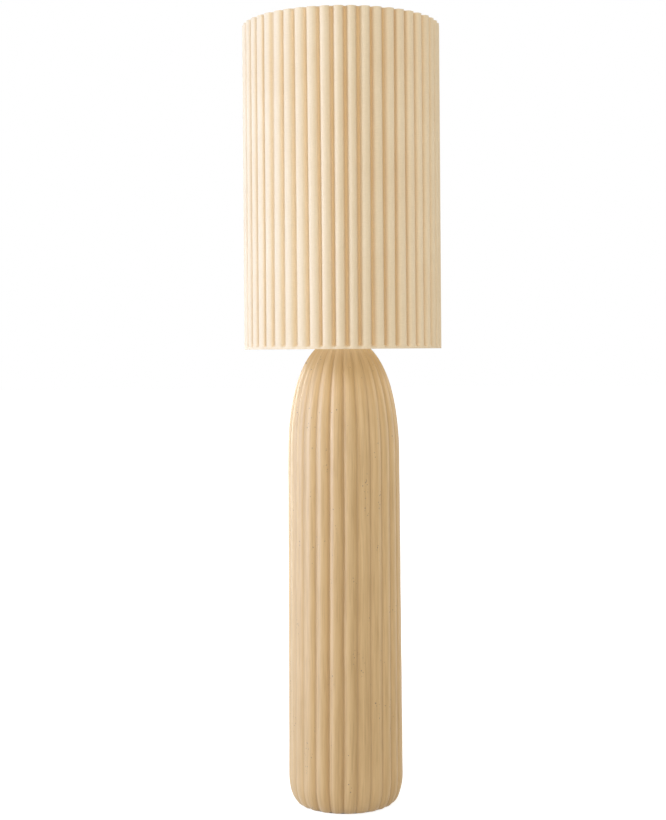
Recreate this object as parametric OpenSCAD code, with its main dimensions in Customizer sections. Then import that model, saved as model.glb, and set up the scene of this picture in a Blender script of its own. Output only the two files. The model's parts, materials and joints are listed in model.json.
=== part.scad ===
// Floor lamp with a fluted ceramic body and a tall drum shade of rounded pleats.
// Origin: centre of the underside, on the floor. +Z is up and -Y is the front.
// Stack from the floor: felt pad, ceramic body clamped on a threaded rod between a bottom plate and
// a vase cap, riser tube, harp saddle, lamp holder and bulb. The harp carries the shade on its stud.

/* [Ceramic body] */
// Radius of the foot, where the body stands
foot_r = 89; // [86:0.5:96]
// Radius of the body just above its rounded bottom corner
low_r = 110.3; // [105:0.1:120]
// Radius of the body where the dome starts
high_r = 108.3; // [100:0.1:120]
// Height of the rounded bottom corner
corner_h = 54; // [50:1:70]
// Height above the foot at which the dome starts
dome_start = 656; // [500:1:800]
// Height of the body, to its flat neck
body_h = 892; // [720:1:1100]
// Fullness of the dome: 2 is an ellipse and more is squarer
dome_power = 2.33; // [2:0.01:3]
// Radius of the flat neck on which the vase cap sits
neck_r = 26; // [22:0.5:34]
// Radius of the hole in the neck
neck_hole_r = 12; // [9:0.5:14]
// Number of flutes round the body
flutes = 25; // [16:1:32]
// Depth of the valleys between the flutes at the widest place
flute_depth = 3.6; // [1.5:0.1:5]
// Thickness of the ceramic behind a valley
body_wall = 6.5; // [5:0.5:10]
// Thickness of the foot's wall
foot_wall = 14; // [12:0.5:16]
// Height of the underside of the inner ledge above the foot
ledge_h = 46; // [42:1:50]
// Thickness of the ledge
ledge_t = 10; // [8:1:14]
// Radius of the opening in the ledge
ledge_hole_r = 56; // [40:1:60]

/* [Base fittings] */
// Thickness of the felt pad under the foot
felt_t = 2; // [1:0.5:4]
// Distance from the edge of the foot to the edge of the felt
felt_inset = 3; // [1:0.5:6]
// Radius of the steel bottom plate
plate_r = 69; // [64:0.5:70]
// Thickness of the bottom plate
plate_t = 3; // [2:0.5:5]
// Outer radius of the threaded rod
rod_r = 4.85; // [4.5:0.05:5.5]
// Radius of the rod's bore, in which the wires run
rod_bore_r = 3.2; // [2.6:0.1:3.6]
// Length of rod that stands out below the bottom nut
rod_end = 1; // [0.5:0.5:4]
// Thickness of a hex nut
nut_t = 5; // [4:0.5:7]
// Radius of a hex nut over its corners
nut_r = 9.8; // [8:0.1:12]
// Thickness of the bottom washer
washer_t = 1.5; // [1:0.25:3]
// Radius of the bottom washer
washer_r = 12; // [10:0.5:16]
// Height of the cable inlet above the foot
inlet_h = 22; // [20:0.5:26]
// Radius of the hole in the grommet, for a 6 to 6.8 mm cable
inlet_r = 3.5; // [3:0.1:4]
// Radius of the grommet where it passes through the ceramic
grommet_r = 6.3; // [5:0.1:8]
// Radius of the grommet's two flanges
grommet_flange_r = 9; // [8:0.5:12]
// Thickness of each of the grommet's flanges
grommet_flange_t = 2.5; // [1.5:0.25:4]
// Thickness of the ceramic that the grommet clips into
inlet_wall = 5; // [3:0.5:6]
// Depth of the grommet's seat below the valleys of the flutes
inlet_depth = 5; // [3:0.5:7]
// Width of the terminal block, along X
block_w = 22; // [18:1:30]
// Depth of the terminal block, along Y
block_d = 16; // [12:1:20]
// Height of the terminal block
block_h = 18; // [16:1:20]
// Distance of the terminal block's near face from the rod's axis
block_y = 27; // [20:1:40]

/* [Upper fittings] */
// Radius of the vase cap
cap_r = 27; // [24:0.5:34]
// Height of the vase cap
cap_h = 9; // [6:0.5:14]
// Depth of the vase cap's spigot in the neck
spigot_h = 6; // [3:0.5:8]
// Thickness of the rubber gasket under the vase cap
gasket_t = 1.5; // [1:0.25:3]
// Outer radius of the riser tube
riser_r = 6.5; // [6.2:0.1:9]
// Wall of the riser tube
riser_wall = 0.8; // [0.6:0.1:1.2]
// Length of the riser tube
riser_len = 244.4; // [160:0.1:320]
// Thickness of the harp saddle's strip
saddle_t = 1.8; // [1.2:0.1:3]
// Width of the harp saddle's strip
saddle_w = 13; // [10:0.5:18]
// Distance of the saddle's posts from the axis
post_x = 22; // [20:0.5:26]
// Height of the saddle's posts above its strip
post_h = 10; // [7:0.5:12]

/* [Lamp holder and bulb] */
// Outer radius of the lamp holder's shell
holder_r = 16.5; // [16.3:0.1:19]
// Thickness of the holder's metal shell
holder_wall = 0.7; // [0.5:0.1:0.8]
// Height of the holder's cap
holder_cap_h = 26; // [22:1:32]
// Height of the whole lamp holder above the saddle
holder_h = 64; // [62:1:70]
// Outer radius of the bulb's screw cap
bulb_cap_r = 13; // [12.8:0.05:13.2]
// Radius of the bulb's glass at its widest
bulb_r = 30; // [25:0.5:34]
// Length of the bulb from its contact to the top of its glass
bulb_len = 108; // [100:1:120]
// Radius of the bulb's glass neck
bulb_neck_r = 13.6; // [13.2:0.1:15]
// Thickness of the bulb's glass
glass_t = 0.8; // [0.5:0.1:1.2]
// Radius of the switch spindle
spindle_r = 1.5; // [1:0.1:2]
// Width of the switch key's paddle
key_w = 14; // [10:0.5:18]
// Distance from the holder's shell to the end of the key
key_reach = 21; // [17:0.5:30]

/* [Harp and finial] */
// Radius of the harp's wire
harp_wire_r = 2; // [1.6:0.1:2.4]
// Height of the harp from the saddle's posts to the seat on its top
harp_h = 290; // [250:1:340]
// Half of the harp's width, from the axis to the middle of its wire
harp_half_w = 53; // [48:0.5:60]
// Length of the locking sleeves
sleeve_h = 18; // [16:0.5:20]
// Travel of the locking sleeves
sleeve_travel = 10; // [8:0.5:12]
// Wall of the locking sleeves
sleeve_wall = 1.6; // [1:0.1:2.4]
// Radius of the harp's threaded stud
stud_r = 3.175; // [3:0.025:3.5]
// Length of the harp's threaded stud above the seat
stud_h = 11; // [9:0.5:14]
// Radius of the finial's ball
finial_r = 10; // [8:0.5:12]
// Height of the finial's neck, up to the ball
finial_neck_h = 10; // [8:0.5:14]

/* [Shade] */
// Radius of the shade over its pleats
shade_r = 191; // [160:0.5:220]
// Height of the shade
shade_h = 624; // [450:1:640]
// Number of pleats
pleats = 48; // [36:1:60]
// Depth of the pleats
pleat_depth = 11; // [6:0.5:14]
// Thickness of the pleated fabric
fabric_t = 0.8; // [0.6:0.1:1.2]
// How steep the sides of a pleat are: 0 is a plain wave and 1 has straight sides
pleat_steep = 0.8; // [0.4:0.05:0.9]
// Extra width of a fold on each side, which narrows the gap between folds
pleat_swell = 1.6; // [0:0.1:2.2]
// Thickness of the liner
liner_t = 1.2; // [0.8:0.1:2]
// Radius of the wire of the shade's rings
ring_wire_r = 2.1; // [1.8:0.1:2.6]
// Radius of the wire of the spider's arms
arm_wire_r = 1.8; // [1.5:0.1:2]
// Height of the top ring above the spider's hub
spider_drop = 40; // [38:1:60]
// Distance of each ring from the shade's edge
ring_inset = 3; // [2.5:0.5:6]
// Radius of the spider's hub
hub_r = 13; // [10:0.5:16]
// Thickness of the spider's hub
hub_t = 2.4; // [2:0.1:4]
// Number of arms on the spider
arms = 3; // [3:1:4]

/* [Hidden] */
$fn = 64;

// Clearances
seat_gap = 0.1;     // between flat faces of pieces that move on each other
slip_gap = 0.1;     // round a piece that slides over or into another when it is put together
stud_gap = 0.08;    // between the finial's thread and the stud
run_gap = 0.3;      // round a piece that turns or slides in use
glue_gap = 0.2;     // between the shade's rings, liner and fabric
over = 1;           // how far a cutting tool runs past a face
bend_lap = 0.3;     // how far a wire's straight runs reach into its bends
bend_step = 0.02;   // how much thinner they are there, so that they stay inside

// Directions, in degrees from +X
flute_phase = -92.3;    // a valley between two flutes
pleat_phase = -91.6;    // the crest of a fold
arm_phase = 90;         // the first arm, at the back
inlet_dir = 90;         // the cable inlet, at the back

// Heights from the floor, bottom to top
foot_z = felt_t;
ledge_z = foot_z + ledge_h;
plate_z = ledge_z - plate_t;
washer_z = plate_z - washer_t;
bottom_nut_z = washer_z - nut_t;
rod_z = bottom_nut_z - rod_end;
inlet_z = foot_z + inlet_h;
neck_z = foot_z + body_h;
cap_z = neck_z + gasket_t;
riser_z = cap_z + cap_h;
saddle_nut_z = riser_z + riser_len;
saddle_z = saddle_nut_z + nut_t;
holder_z = saddle_z + saddle_t;
harp_z = holder_z + post_h;
seat_z = harp_z + harp_h;
hub_z = seat_z + seat_gap;
finial_z = hub_z + hub_t + seat_gap;
top_ring_z = hub_z + hub_t / 2 + spider_drop;
shade_top_z = top_ring_z + ring_inset;
shade_z = shade_top_z - shade_h;
bottom_ring_z = shade_z + ring_inset;

// Lamp holder and bulb, above the holder's base
rod_into_holder = 6;
rod_top_z = holder_z + rod_into_holder;
collar_r = 7.5;
collar_h = 8;
cap_floor_t = 1.5;
shell_z = holder_z + 20;
holder_top_z = holder_z + holder_h;
shell_in_r = holder_r - holder_wall;
fibre_t = 0.6;
fibre_r = shell_in_r - slip_gap;
fibre_in_r = fibre_r - fibre_t;
body_z = shell_z;
core_h = 20;
insulator_r = fibre_in_r - slip_gap;
body_flat_x = 11.2;
screw_shell_z = body_z + core_h;
screw_shell_t = 0.5;
screw_shell_in_r = bulb_cap_r + run_gap;
screw_shell_drop = 1.5; // from the holder's rim down to the shell's edge
screw_shell_h = holder_top_z - screw_shell_z - screw_shell_drop;
contact_base_t = 0.8;
contact_h = 3.5;
bulb_z = screw_shell_z + contact_h + seat_gap;
bulb_contact_r = 3.2;
bulb_contact_h = 1.6;
insulator_h = 4.5;
insulator_lip = 2;      // how far the insulator reaches up into the screw cap
bulb_cap_z = bulb_z + bulb_contact_h + insulator_h;
bulb_cap_t = 0.4;
bulb_cap_in_r = bulb_neck_r - 4 * glass_t;   // opening under the glass
bulb_cap_len = 27;      // from the bulb's contact to the top of its screw cap
bulb_glass_z = bulb_z + bulb_cap_len;
bulb_cap_h = bulb_glass_z - bulb_cap_z;
bulb_top_z = bulb_z + bulb_len;
bulb_centre_z = bulb_top_z - bulb_r;
stem_r = 4;
stem_h = 22;
filaments = 4;
filament_r = 0.9;
filament_ring_r = 9;
filament_h = 32;

// Switch key, on the front of the holder
spindle_z = body_z + core_h / 2;
spindle_in = 8;         // how far the spindle reaches into the holder's body
spindle_hole_r = spindle_r + run_gap;
key_gap = 1;            // between the shell and the key's hub
key_hub_r = 4.2;
key_hub_h = 6;
key_paddle_t = 3.2;
key_bore_depth = 5;

// Wires
wire_r = 1;
wire_x = 1.25;          // distance of a wire from the rod's axis
wire_bend_r = 6;
wire_drop = 0.6;        // straight end of a wire below the rod
wire_rise = 0.4;        // straight end of a wire above the rod
wire_z = rod_z - wire_drop - wire_bend_r;
wire_in_block = 5;
wire_spread = 8;        // degrees by which each wire leaves straight back
wire_hole_r = wire_r + 0.2;
block_screw_r = 2.2;
block_screw_h = 3;
block_screw_x = 5.2;
top_bend_r = 4;
top_bend = 45;          // degrees that a wire leans outwards above the rod
screw_r = 3;
screw_head_t = 1.4;
screw_up = 8;
screw_z = body_z + screw_up;
wire_end_x = body_flat_x + screw_head_t + wire_r + slip_gap;

// Shade
cover_mid_r = shade_r - fabric_t / 2 - pleat_depth / 2;
liner_r = shade_r - fabric_t - pleat_depth - glue_gap;
liner_in_r = liner_r - liner_t;
ring_r = liner_in_r - glue_gap - ring_wire_r;
pleat_turns = [-130, -50, 0, 50, 130, 180];   // corners of the fabric in one pleat, in degrees
arm_bend_r = 12;
arm_slope = 45;         // slope of the arms at their outer ends, in degrees

// Ceramic body

// Height of the dome, measured to the point where it would close
dome_h = (body_h - dome_start) / pow(1 - pow(neck_r / high_r, dome_power), 1 / dome_power);

// Radius over the flutes at height h above the foot
function body_r(h) =
    h < corner_h ? foot_r + (low_r - foot_r) * sqrt(1 - pow(1 - h / corner_h, 2)) :
    h < dome_start ? low_r + (high_r - low_r) * (h - corner_h) / (dome_start - corner_h) :
    high_r * pow(1 - pow(min(1, (h - dome_start) / dome_h), dome_power), 1 / dome_power);

// Depth of a valley where the body has the radius r: the flutes fade out at the neck
function valley(r) = flute_depth * max(0, r - neck_r) / (low_r - neck_r);

corner_rings = 6;
dome_rings = 10;
flute_steps = 6;
dome_top_angle = asin(pow((body_h - dome_start) / dome_h, dome_power / 2));
ring_heights = concat(
    [for (i = [0 : corner_rings]) corner_h * (1 - cos(90 * i / corner_rings))],
    [for (i = [0 : dome_rings])
        dome_start + dome_h * pow(sin(dome_top_angle * i / dome_rings), 2 / dome_power)]);

// A closed skin through rings that all have the same number of points
module skin(rings) {
    n = len(rings[0]);
    last = len(rings) - 1;
    side = [for (j = [0 : last - 1], i = [0 : n - 1])
        let (a = j * n + i, b = j * n + (i + 1) % n)
        each [[a, b + n, b], [a, a + n, b + n]]];
    bottom = [for (i = [0 : n - 1]) i];
    top = [for (i = [n - 1 : -1 : 0]) last * n + i];
    polyhedron(points = [for (ring = rings) each ring], faces = concat(side, [bottom, top]));
}

module fluted_solid() {
    steps = flutes * flute_steps;
    skin([for (h = ring_heights)
        [for (i = [0 : steps - 1])
            let (v = 2 * (i % flute_steps) / flute_steps - 1,
                 r = body_r(h) - valley(body_r(h)) * v * v,
                 a = flute_phase + 360 * i / steps)
            [r * cos(a), r * sin(a), foot_z + h]]]);
}

// The inside above the ledge follows the outside, one wall behind the valleys
module upper_cavity() {
    inner_high_r = high_r - flute_depth - body_wall;
    inner_low_r = low_r - flute_depth - body_wall;
    inner_dome_h = dome_h - 2 * body_wall;
    steps = 12;
    rotate_extrude(convexity = 4)
        polygon(concat(
            [[0, ledge_z + ledge_t], [inner_low_r - body_wall, ledge_z + ledge_t],
             [inner_low_r, ledge_z + ledge_t + body_wall]],
            [for (i = [0 : steps])
                let (q = 90 * i / steps)
                [inner_high_r * pow(cos(q), 2 / dome_power),
                 foot_z + dome_start + inner_dome_h * pow(sin(q), 2 / dome_power)]]));
}

// The recess under the ledge, which holds the plate, the nut and the terminal block
module foot_recess() {
    steps = 5;
    rotate_extrude(convexity = 4)
        polygon(concat(
            [[0, -over], [foot_r - foot_wall, -over]],
            [for (i = [0 : steps])
                let (h = ledge_h * i / steps)
                [body_r(h) - foot_wall, foot_z + h]],
            [[0, ledge_z]]));
}

// Distances from the axis of the two flat faces between which the grommet sits
inlet_face = body_r(inlet_h) - valley(body_r(inlet_h)) - inlet_depth;
inlet_back = inlet_face - inlet_wall;

module at_inlet(y) {
    rotate([0, 0, inlet_dir - 90]) translate([0, y, inlet_z]) rotate([-90, 0, 0]) children();
}

module ceramic_body() {
    neck_bore_h = 4 * body_wall;
    color([0.80, 0.69, 0.52]) difference() {
        fluted_solid();
        upper_cavity();
        foot_recess();
        translate([0, 0, ledge_z - over]) cylinder(r = ledge_hole_r, h = ledge_t + 2 * over);
        translate([0, 0, neck_z - neck_bore_h]) cylinder(r = neck_hole_r, h = neck_bore_h + over);
        at_inlet(inlet_back - over) cylinder(r = grommet_r + slip_gap, h = inlet_wall + 2 * over);
        at_inlet(inlet_face) cylinder(r = grommet_flange_r + run_gap, h = foot_wall);
        at_inlet(inlet_back - foot_wall) cylinder(r = grommet_flange_r + run_gap, h = foot_wall);
    }
}

// Base fittings

module felt_pad() {
    color([0.35, 0.30, 0.26]) cylinder(r = foot_r - felt_inset, h = felt_t);
}

module bottom_plate() {
    color("silver") translate([0, 0, plate_z]) difference() {
        cylinder(r = plate_r, h = plate_t);
        translate([0, 0, -over]) cylinder(r = rod_r + slip_gap, h = plate_t + 2 * over);
    }
}

module bottom_washer() {
    color("silver") translate([0, 0, washer_z]) difference() {
        cylinder(r = washer_r, h = washer_t);
        translate([0, 0, -over]) cylinder(r = rod_r + slip_gap, h = washer_t + 2 * over);
    }
}

// A hex nut with chamfered corners
module hex_nut() {
    chamfer = nut_r * (1 - cos(30));
    difference() {
        intersection() {
            cylinder(r = nut_r, h = nut_t, $fn = 6);
            rotate_extrude($fn = 64)
                polygon([[0, 0], [nut_r - chamfer, 0], [nut_r, chamfer], [nut_r, nut_t - chamfer],
                         [nut_r - chamfer, nut_t], [0, nut_t]]);
        }
        translate([0, 0, -over]) cylinder(r = rod_r + slip_gap, h = nut_t + 2 * over);
    }
}

// One nut under the bottom washer and one under the harp saddle
module rod_nuts() {
    color("goldenrod") for (z = [bottom_nut_z, saddle_nut_z]) translate([0, 0, z]) hex_nut();
}

module threaded_rod() {
    rod_h = rod_top_z - rod_z;
    color("silver") translate([0, 0, rod_z]) difference() {
        cylinder(r = rod_r, h = rod_h);
        translate([0, 0, -over]) cylinder(r = rod_bore_r, h = rod_h + 2 * over);
    }
}

module cable_grommet() {
    color([0.12, 0.12, 0.12]) at_inlet(inlet_back - grommet_flange_t) rotate_extrude()
        polygon([[inlet_r, 0], [grommet_flange_r, 0], [grommet_flange_r, grommet_flange_t],
                 [grommet_r, grommet_flange_t], [grommet_r, grommet_flange_t + inlet_wall],
                 [grommet_flange_r, grommet_flange_t + inlet_wall],
                 [grommet_flange_r, 2 * grommet_flange_t + inlet_wall - 0.8],
                 [grommet_flange_r - 0.8, 2 * grommet_flange_t + inlet_wall],
                 [inlet_r, 2 * grommet_flange_t + inlet_wall]]);
}

// Puts its children where wire number s (-1 or 1) leaves the rod, turned to face the terminal block
module at_wire_exit(s) {
    translate([s * wire_x, 0, wire_z]) rotate([0, 0, 90 - s * wire_spread]) children();
}

module terminal_block() {
    color([0.92, 0.92, 0.90]) difference() {
        translate([-block_w / 2, block_y, plate_z - block_h]) cube([block_w, block_d, block_h]);
        for (s = [-1, 1]) {
            at_wire_exit(s) rotate([0, 90, 0]) cylinder(r = wire_hole_r, h = block_y + wire_in_block + over);
            translate([s * block_screw_x, block_y + block_d / 2, plate_z - block_h - over])
                cylinder(r = block_screw_r + slip_gap, h = block_screw_h + over);
        }
    }
}

// A slotted screw head with its slot along Y
module slotted_head(r, h) {
    slot_w = 0.8;
    difference() {
        cylinder(r = r, h = h);
        translate([-slot_w / 2, -2 * r, h / 2]) cube([slot_w, 4 * r, h]);
    }
}

module terminal_screws() {
    color("silver") for (s = [-1, 1])
        translate([s * block_screw_x, block_y + block_d / 2, plate_z - block_h + block_screw_h])
            mirror([0, 0, 1]) slotted_head(block_screw_r, block_screw_h - slip_gap);
}

// A wire that follows moves, each [straight length, bend radius, bend angle]; it starts up along +Z
// and a positive angle turns it towards +X
module bent_wire(moves, r, i = 0) {
    if (i < len(moves)) {
        run = moves[i][0];
        bend_r = moves[i][1];
        bend = moves[i][2];
        side = bend < 0 ? -1 : 1;
        lap_in = i == 0 ? 0 : bend_lap;
        lap_out = bend == 0 ? 0 : bend_lap;
        translate([0, 0, -lap_in]) cylinder(r = r - bend_step, h = run + lap_in + lap_out, $fn = 32);
        translate([0, 0, run]) {
            if (bend != 0)
                translate([side * bend_r, 0, 0]) mirror([side > 0 ? 1 : 0, 0, 0]) rotate([90, 0, 0])
                    rotate_extrude(angle = abs(bend), $fn = 96) translate([bend_r, 0]) circle(r = r, $fn = 32);
            translate([side * bend_r, 0, 0]) rotate([0, bend, 0]) translate([-side * bend_r, 0, 0])
                bent_wire(moves, r, i + 1);
        }
    }
}

// Each wire runs from the terminal block into the rod, up its bore and out to its terminal screw
module inner_wires() {
    block_run = block_y / cos(wire_spread) + wire_in_block - wire_bend_r;
    lean = wire_end_x - wire_x - 2 * top_bend_r * (1 - cos(top_bend));
    lean_run = lean / sin(top_bend);
    straight = rod_top_z - rod_z + wire_drop + wire_rise;
    top_z = wire_z + wire_bend_r + straight;
    top_run = screw_z - top_z - 2 * top_bend_r * sin(top_bend) - lean_run * cos(top_bend);
    for (s = [-1, 1]) color(s < 0 ? "saddlebrown" : "royalblue") {
        at_wire_exit(s) translate([wire_bend_r, 0, 0]) {
            translate([-bend_lap, 0, 0]) rotate([0, 90, 0])
                cylinder(r = wire_r - bend_step, h = block_run + bend_lap, $fn = 32);
            translate([0, 0, wire_bend_r]) rotate([90, 0, 0]) rotate([0, 0, 180])
                rotate_extrude(angle = 90, $fn = 96) translate([wire_bend_r, 0]) circle(r = wire_r, $fn = 32);
        }
        translate([s * wire_x, 0, wire_z + wire_bend_r]) mirror([s < 0 ? 1 : 0, 0, 0])
            bent_wire([[straight, top_bend_r, top_bend], [lean_run, top_bend_r, -top_bend],
                       [top_run, 0, 0]], wire_r);
    }
}

// Neck and riser

module neck_gasket() {
    color([0.15, 0.15, 0.15]) translate([0, 0, neck_z]) difference() {
        cylinder(r = neck_r - 1, h = gasket_t);
        translate([0, 0, -over]) cylinder(r = neck_hole_r, h = gasket_t + 2 * over);
    }
}

module vase_cap() {
    lip = 2;
    boss_r = riser_r + 3;
    bore = rod_r + slip_gap;
    color([0.78, 0.66, 0.42]) translate([0, 0, cap_z]) rotate_extrude()
        polygon([[bore, -gasket_t - spigot_h], [neck_hole_r - slip_gap, -gasket_t - spigot_h],
                 [neck_hole_r - slip_gap, 0], [cap_r - 0.6, 0], [cap_r, 0.6], [cap_r, lip - 0.4],
                 [cap_r - 1.5, lip + 0.6], [cap_r - 6, lip + 2.2], [boss_r + 4, lip + 3.6],
                 [boss_r, cap_h - 2], [boss_r, cap_h - 0.6], [boss_r - 0.6, cap_h], [bore, cap_h]]);
}

module riser_tube() {
    color([0.78, 0.66, 0.42]) translate([0, 0, riser_z]) difference() {
        cylinder(r = riser_r, h = riser_len);
        translate([0, 0, -over]) cylinder(r = riser_r - riser_wall, h = riser_len + 2 * over);
    }
}

module harp_saddle() {
    end_r = saddle_w / 2;
    color([0.78, 0.66, 0.42]) translate([0, 0, saddle_z]) {
        difference() {
            union() {
                translate([-post_x, -saddle_w / 2, 0]) cube([2 * post_x, saddle_w, saddle_t]);
                for (s = [-1, 1]) translate([s * post_x, 0, 0]) cylinder(r = end_r, h = saddle_t);
            }
            translate([0, 0, -over]) cylinder(r = rod_r + slip_gap, h = saddle_t + 2 * over);
        }
        for (s = [-1, 1]) translate([s * post_x, 0, saddle_t / 2])
            cylinder(r = harp_wire_r, h = saddle_t / 2 + post_h);
    }
}

// Lamp holder

module holder_cap() {
    outer = holder_r + holder_wall + slip_gap;
    round_h = 5;
    color([0.78, 0.66, 0.42]) translate([0, 0, holder_z]) rotate_extrude()
        polygon([[rod_r + slip_gap, 0], [collar_r, 0], [collar_r, collar_h - cap_floor_t],
                 [outer - round_h, collar_h], [outer - 1.2, collar_h + 1.6], [outer, collar_h + round_h],
                 [outer, holder_cap_h], [outer - holder_wall, holder_cap_h],
                 [outer - holder_wall, collar_h + round_h + 0.6],
                 [outer - round_h, collar_h + cap_floor_t], [rod_r + slip_gap, collar_h + cap_floor_t]]);
}

module spindle_cut(r) {
    translate([0, 0, spindle_z]) rotate([90, 0, 0]) cylinder(r = r, h = holder_r + over);
}

module holder_shell() {
    bead_r = 0.5;
    color([0.78, 0.66, 0.42]) difference() {
        union() {
            translate([0, 0, shell_z]) cylinder(r = holder_r, h = holder_top_z - shell_z);
            translate([0, 0, holder_top_z - 2 * bead_r]) rotate_extrude()
                translate([holder_r - bead_r / 2, 0]) circle(r = bead_r, $fn = 24);
        }
        translate([0, 0, shell_z - over]) cylinder(r = shell_in_r, h = holder_top_z - shell_z + 2 * over);
        spindle_cut(spindle_hole_r + 0.5);
    }
}

module holder_liner() {
    liner_end = holder_top_z - 1;
    color([0.55, 0.42, 0.28]) difference() {
        translate([0, 0, shell_z]) cylinder(r = fibre_r, h = liner_end - shell_z);
        translate([0, 0, shell_z - over]) cylinder(r = fibre_in_r, h = liner_end - shell_z + 2 * over);
        spindle_cut(spindle_hole_r + 0.5);
    }
}

module holder_body() {
    flange_h = 4;
    color([0.10, 0.10, 0.10]) difference() {
        translate([0, 0, body_z]) cylinder(r = insulator_r, h = core_h);
        for (s = [-1, 1])
            translate([s > 0 ? body_flat_x : -body_flat_x - 2 * insulator_r, -insulator_r, body_z - over])
                cube([2 * insulator_r, 2 * insulator_r, core_h - flange_h + over]);
        translate([0, spindle_in - insulator_r, spindle_z]) rotate([90, 0, 0])
            cylinder(r = spindle_hole_r, h = insulator_r);
    }
}

module holder_screws() {
    color("goldenrod") for (s = [-1, 1])
        translate([s * body_flat_x, 0, screw_z]) rotate([0, s * 90, 0]) slotted_head(screw_r, screw_head_t);
}

// Metal shell that takes the bulb's screw cap, with a hole in its floor round the contact
module screw_shell() {
    floor_hole_r = 6;
    color([0.75, 0.74, 0.70]) translate([0, 0, screw_shell_z]) difference() {
        cylinder(r = screw_shell_in_r + screw_shell_t, h = screw_shell_h);
        translate([0, 0, screw_shell_t]) cylinder(r = screw_shell_in_r, h = screw_shell_h);
        translate([0, 0, -over]) cylinder(r = floor_hole_r, h = screw_shell_t + 2 * over);
    }
}

module centre_contact() {
    base_r = 4;
    pin_r = 1.6;
    color("goldenrod") translate([0, 0, screw_shell_z]) {
        cylinder(r = base_r, h = contact_base_t);
        translate([0, 0, contact_base_t / 2]) cylinder(r = pin_r, h = contact_h - contact_base_t / 2);
    }
}

module switch_spindle() {
    inner_end = insulator_r - spindle_in + slip_gap;
    outer_end = holder_r + key_gap + key_bore_depth - slip_gap;
    color("silver") translate([0, 0, spindle_z]) rotate([90, 0, 0])
        translate([0, 0, inner_end]) cylinder(r = spindle_r, h = outer_end - inner_end);
}

module switch_key() {
    paddle_h = key_reach - key_gap - key_hub_h;
    tip_r = 3;
    color([0.10, 0.10, 0.10]) translate([0, 0, spindle_z]) rotate([90, 0, 0])
        translate([0, 0, holder_r + key_gap]) difference() {
            union() {
                cylinder(r = key_hub_r, h = key_hub_h);
                translate([-key_w / 2, -key_paddle_t / 2, key_hub_h / 2])
                    cube([key_w, key_paddle_t, key_hub_h / 2 + paddle_h - tip_r]);
                translate([-key_w / 2 + tip_r, -key_paddle_t / 2, key_hub_h])
                    cube([key_w - 2 * tip_r, key_paddle_t, paddle_h]);
                for (s = [-1, 1])
                    translate([s * (key_w / 2 - tip_r), key_paddle_t / 2, key_hub_h + paddle_h - tip_r])
                        rotate([90, 0, 0]) cylinder(r = tip_r, h = key_paddle_t);
            }
            translate([0, 0, -over]) cylinder(r = spindle_r + slip_gap / 2, h = key_bore_depth + over);
        }
}

// Bulb

// Outline of the glass from the top of the screw cap to the top, drawn in by inset
function glass_outline(inset) =
    let (r = bulb_r - inset, neck = bulb_neck_r - inset, steps = 14, low = -48,
         waist = [r * cos(low), bulb_centre_z + r * sin(low)])
    concat([[neck, bulb_glass_z]],
           [for (i = [1 : 4]) let (u = i / 4, k = u * u * (3 - 2 * u))
               [neck + (waist[0] - neck) * k * u, bulb_glass_z + (waist[1] - bulb_glass_z) * u]],
           [for (i = [1 : steps]) let (a = low + (90 - low) * i / steps)
               [max(0, r * cos(a)), bulb_centre_z + r * sin(a)]]);

module bulb_glass() {
    inner = glass_outline(glass_t);
    color([0.96, 0.95, 0.92]) rotate_extrude(convexity = 4)
        polygon(concat(glass_outline(0), [for (i = [len(inner) - 1 : -1 : 0]) inner[i]]));
}

module bulb_cap() {
    rim_h = 1.5;
    color([0.78, 0.78, 0.76]) translate([0, 0, bulb_cap_z]) difference() {
        cylinder(r = bulb_cap_r, h = bulb_cap_h);
        translate([0, 0, -over]) cylinder(r = bulb_cap_r - bulb_cap_t, h = bulb_cap_h - rim_h + over);
        cylinder(r = bulb_cap_in_r, h = bulb_cap_h + over);
    }
}

module bulb_insulator() {
    top_r = bulb_cap_r - bulb_cap_t - slip_gap;
    color([0.08, 0.08, 0.08]) translate([0, 0, bulb_z + bulb_contact_h]) rotate_extrude()
        polygon([[0, 0], [bulb_contact_r + 1.5, 0], [top_r - 1.5, insulator_h - 0.6], [top_r, insulator_h],
                 [top_r, insulator_h + insulator_lip], [0, insulator_h + insulator_lip]]);
}

module bulb_contact() {
    color("silver") translate([0, 0, bulb_z]) rotate_extrude()
        polygon([[0, 0], [bulb_contact_r - 1.4, 0], [bulb_contact_r - 0.4, 0.5],
                 [bulb_contact_r, bulb_contact_h - seat_gap], [0, bulb_contact_h - seat_gap]]);
}

module bulb_stem() {
    stem_z = bulb_cap_z + insulator_lip;
    holder_t = 1;
    base_r = bulb_cap_in_r - 1;
    color([0.85, 0.90, 0.92, 0.6]) translate([0, 0, stem_z]) {
        cylinder(r1 = base_r, r2 = stem_r, h = stem_h);
        translate([0, 0, stem_h]) cylinder(r = stem_r, h = bulb_centre_z - stem_z - stem_h - filament_h / 2);
        translate([0, 0, bulb_centre_z - stem_z - filament_h / 2 - holder_t])
            cylinder(r = filament_ring_r + filament_r + 0.5, h = holder_t);
    }
}

module bulb_filaments() {
    color([0.95, 0.80, 0.35]) for (i = [0 : filaments - 1])
        rotate([0, 0, 45 + 360 * i / filaments])
            translate([filament_ring_r, 0, bulb_centre_z - filament_h / 2])
                cylinder(r = filament_r, h = filament_h);
}

// Harp, sleeves and finial

harp_spare = 4;         // straight leg left above a raised sleeve
harp_straight = sleeve_h - post_h + sleeve_travel + harp_spare;
harp_bow = 45;          // degrees by which a leg leans out above its sleeve
harp_bow_r = 25;
harp_top_r = 40;
seat_r = 6.5;
seat_up = 5;            // from the middle of the harp's wire up to the seat for the spider
seat_down = 3.2;        // from the middle of the harp's wire down to the seat's underside

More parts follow.
